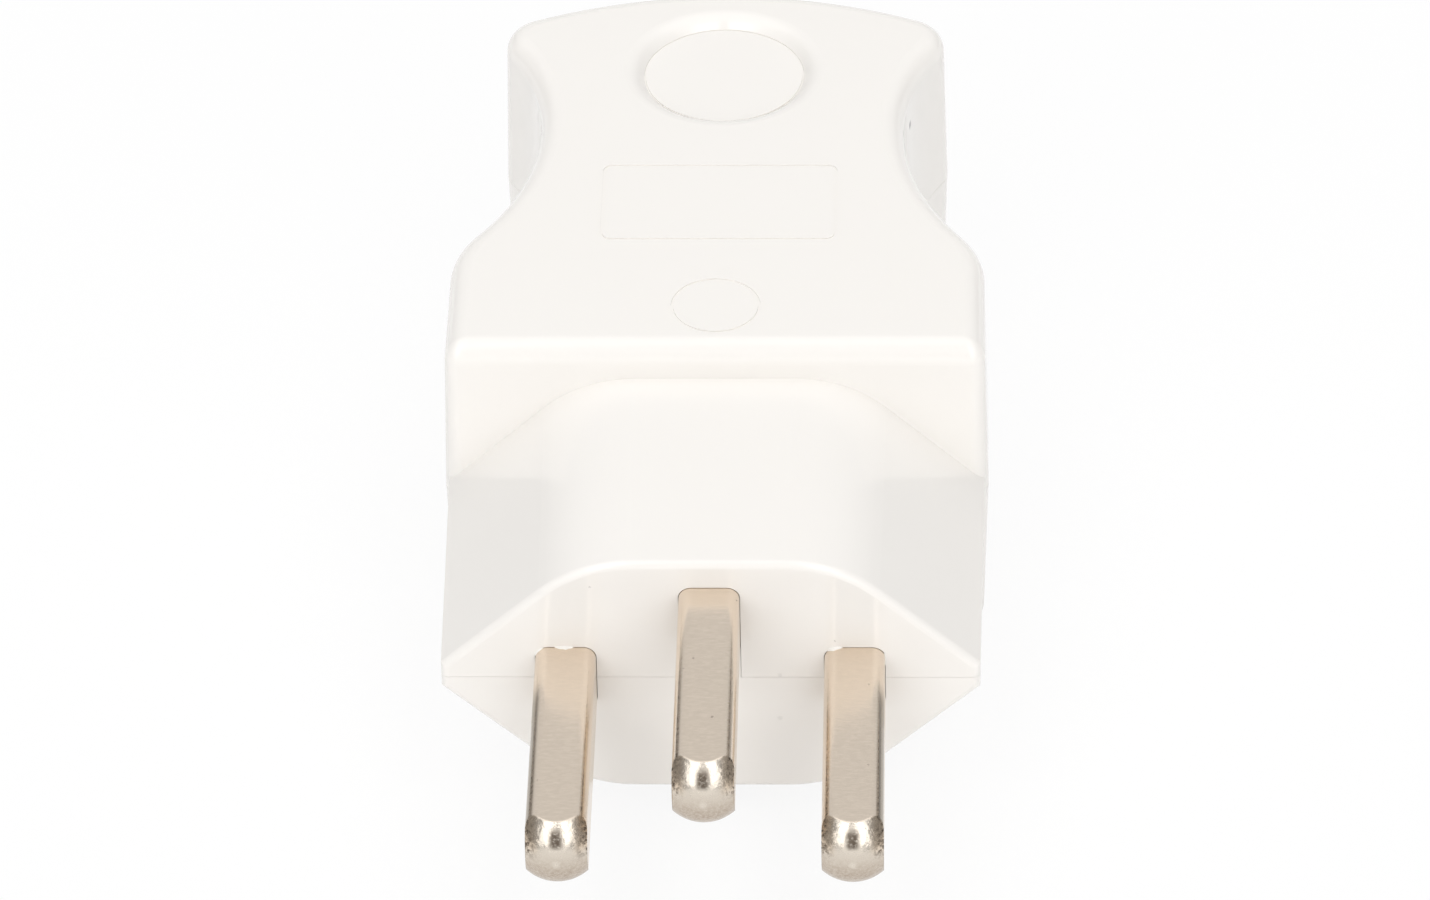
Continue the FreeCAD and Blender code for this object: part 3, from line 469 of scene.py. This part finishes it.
# Table: a plain matt white sheet that the plug lies on.
# It is seen and mirrored as white, and keeps a trace of the plug's shadow.

FLOOR_HALF = 1.5
FLOOR_WHITE = (0.94, 0.94, 0.94, 1.0)
FLOOR_ROUGH = 0.9
FLOOR_SHADOW_SHARE = 0.12
PURE_WHITE = (1.0, 1.0, 1.0, 1.0)


def add_sheet(name, corners, material):
    """A flat four-cornered piece of the studio."""
    mesh = bpy.data.meshes.new(name)
    mesh.from_pydata(corners, [], [(0, 1, 2, 3)])
    mesh.materials.append(material)
    sheet = bpy.data.objects.new(name, mesh)
    scene.collection.objects.link(sheet)
    return sheet


def matt_material(name, colour, roughness):
    """A material of one colour without gloss."""
    material, tree, shader = new_material(name)
    shader.inputs["Base Color"].default_value = colour
    shader.inputs["Roughness"].default_value = roughness
    shader.inputs["Specular IOR Level"].default_value = 0.0
    return material, tree, shader


table_white, tree, shader = matt_material("table_white", FLOOR_WHITE, FLOOR_ROUGH)
path = add_node(tree, "ShaderNodeLightPath").outputs
seen = maths(tree, "MAXIMUM",
             path["Is Camera Ray"], path["Is Glossy Ray"], path["Is Transmission Ray"])
white = add_node(tree, "ShaderNodeEmission", {"Color": PURE_WHITE, "Strength": 1.0}).outputs[0]
white_share = maths(tree, "MULTIPLY", seen, 1.0 - FLOOR_SHADOW_SHARE)
mixed = add_node(tree, "ShaderNodeMixShader",
                 {0: white_share, 1: shader.outputs[0], 2: white}).outputs[0]
tree.links.new(mixed, tree.nodes["Material Output"].inputs["Surface"])
add_sheet("table_sheet",
          [(x * FLOOR_HALF, y * FLOOR_HALF, cad_low.z)
           for x, y in ((-1, -1), (1, -1), (1, 1), (-1, 1))],
          table_white)


# Studio: a pale room, darker to its sides and rear, with a lighter ring round its zenith.
# A softbox stands high on each side of the camera, and a black cloth hangs behind and above it,
# so the metal tips have a dark middle to mirror.

ROOM_STRENGTH = 1.17
ROOM_SIDE_DROP = 0.76
ROOM_REAR_DROP = 0.39
ROOM_TOP_LIFT = 0.46
# Each pair says at which direction a change of the room starts and where it is full
ROOM_SIDES = (0.20, 0.75)
ROOM_REAR = (0.10, 0.65)
ROOM_TOP = (0.72, 0.86)
ROOM_ZENITH = (0.985, 0.90)
CLOTH_BLACK = (0.02, 0.02, 0.02, 1.0)
CLOTH_ROUGH = 1.0
CLOTH_CORNERS = [(-0.17, -0.78, 0.20), (0.17, -0.78, 0.20),
                 (0.02, -0.10, 0.80), (-0.02, -0.10, 0.80)]
SOFTBOX_ACROSS = 0.30
SOFTBOX_ALONG = -0.46
SOFTBOX_UP = 0.48
SOFTBOX_WIDE = 0.42
SOFTBOX_TALL = 0.86
SOFTBOX_POWER = 1.38

world = bpy.data.worlds.new("pale_room")
scene.world = world
world.use_nodes = True
tree = world.node_tree
direction = add_node(tree, "ShaderNodeTexCoord").outputs["Generated"]
towards = add_node(tree, "ShaderNodeSeparateXYZ", {0: direction}).outputs
side_drop = maths(tree, "MULTIPLY", ramp(tree, size_of(tree, towards["X"]), *ROOM_SIDES),
                  ROOM_STRENGTH * ROOM_SIDE_DROP)
rear_drop = maths(tree, "MULTIPLY", ramp(tree, towards["Y"], *ROOM_REAR),
                  ROOM_STRENGTH * ROOM_REAR_DROP)
top_lift = maths(tree, "MULTIPLY", ramp(tree, towards["Z"], *ROOM_TOP),
                 ramp(tree, towards["Z"], *ROOM_ZENITH), ROOM_STRENGTH * ROOM_TOP_LIFT)
room_light = maths(tree, "SUBTRACT", maths(tree, "ADD", top_lift, ROOM_STRENGTH),
                   maths(tree, "MAXIMUM", side_drop, rear_drop))
tree.nodes["Background"].inputs["Color"].default_value = PURE_WHITE
tree.links.new(room_light, tree.nodes["Background"].inputs["Strength"])

black_cloth = matt_material("black_cloth", CLOTH_BLACK, CLOTH_ROUGH)[0]
cloth = add_sheet("camera_cloth", CLOTH_CORNERS, black_cloth)
cloth.visible_camera = False

for name, side in (("left_softbox", -1), ("right_softbox", 1)):
    lamp = bpy.data.lights.new(name, "AREA")
    lamp.shape = "RECTANGLE"
    lamp.size = SOFTBOX_WIDE
    lamp.size_y = SOFTBOX_TALL
    lamp.energy = SOFTBOX_POWER
    softbox = bpy.data.objects.new(name, lamp)
    scene.collection.objects.link(softbox)
    stand = Vector((side * SOFTBOX_ACROSS, SOFTBOX_ALONG, SOFTBOX_UP))
    softbox.location = stand
    softbox.rotation_mode = "QUATERNION"
    softbox.rotation_quaternion = (-stand).to_track_quat("-Z", "Y")


# Camera: a long lens in front of the plug, looking down on it.
# Its place and turn were fitted to the pins and the outline of the housing.

LENS = 209.53
SENSOR_WIDE = 36.0
NEAREST = 0.01
FARTHEST = 20.0
CAMERA_DISTANCE = 0.566914
CAMERA_RISE = math.radians(37.791)
CAMERA_TURN = math.radians(1.926)
CAMERA_ROLL = math.radians(-1.163)
CAMERA_TARGET = Vector((-0.000223, 0.024353, 0.000019))

back = Vector((math.sin(CAMERA_TURN) * math.cos(CAMERA_RISE),
               -math.cos(CAMERA_TURN) * math.cos(CAMERA_RISE),
               math.sin(CAMERA_RISE)))
level = Vector((math.cos(CAMERA_TURN), math.sin(CAMERA_TURN), 0.0))
upright = back.cross(level)
right = level * math.cos(CAMERA_ROLL) + upright * math.sin(CAMERA_ROLL)
up = upright * math.cos(CAMERA_ROLL) - level * math.sin(CAMERA_ROLL)
lens = bpy.data.cameras.new("camera")
lens.lens = LENS
lens.sensor_width = SENSOR_WIDE
lens.clip_start = NEAREST
lens.clip_end = FARTHEST
camera = bpy.data.objects.new("camera", lens)
scene.collection.objects.link(camera)
turned = Matrix((right, up, back)).transposed().to_4x4()
camera.matrix_world = Matrix.Translation(CAMERA_TARGET + back * CAMERA_DISTANCE) @ turned
scene.camera = camera
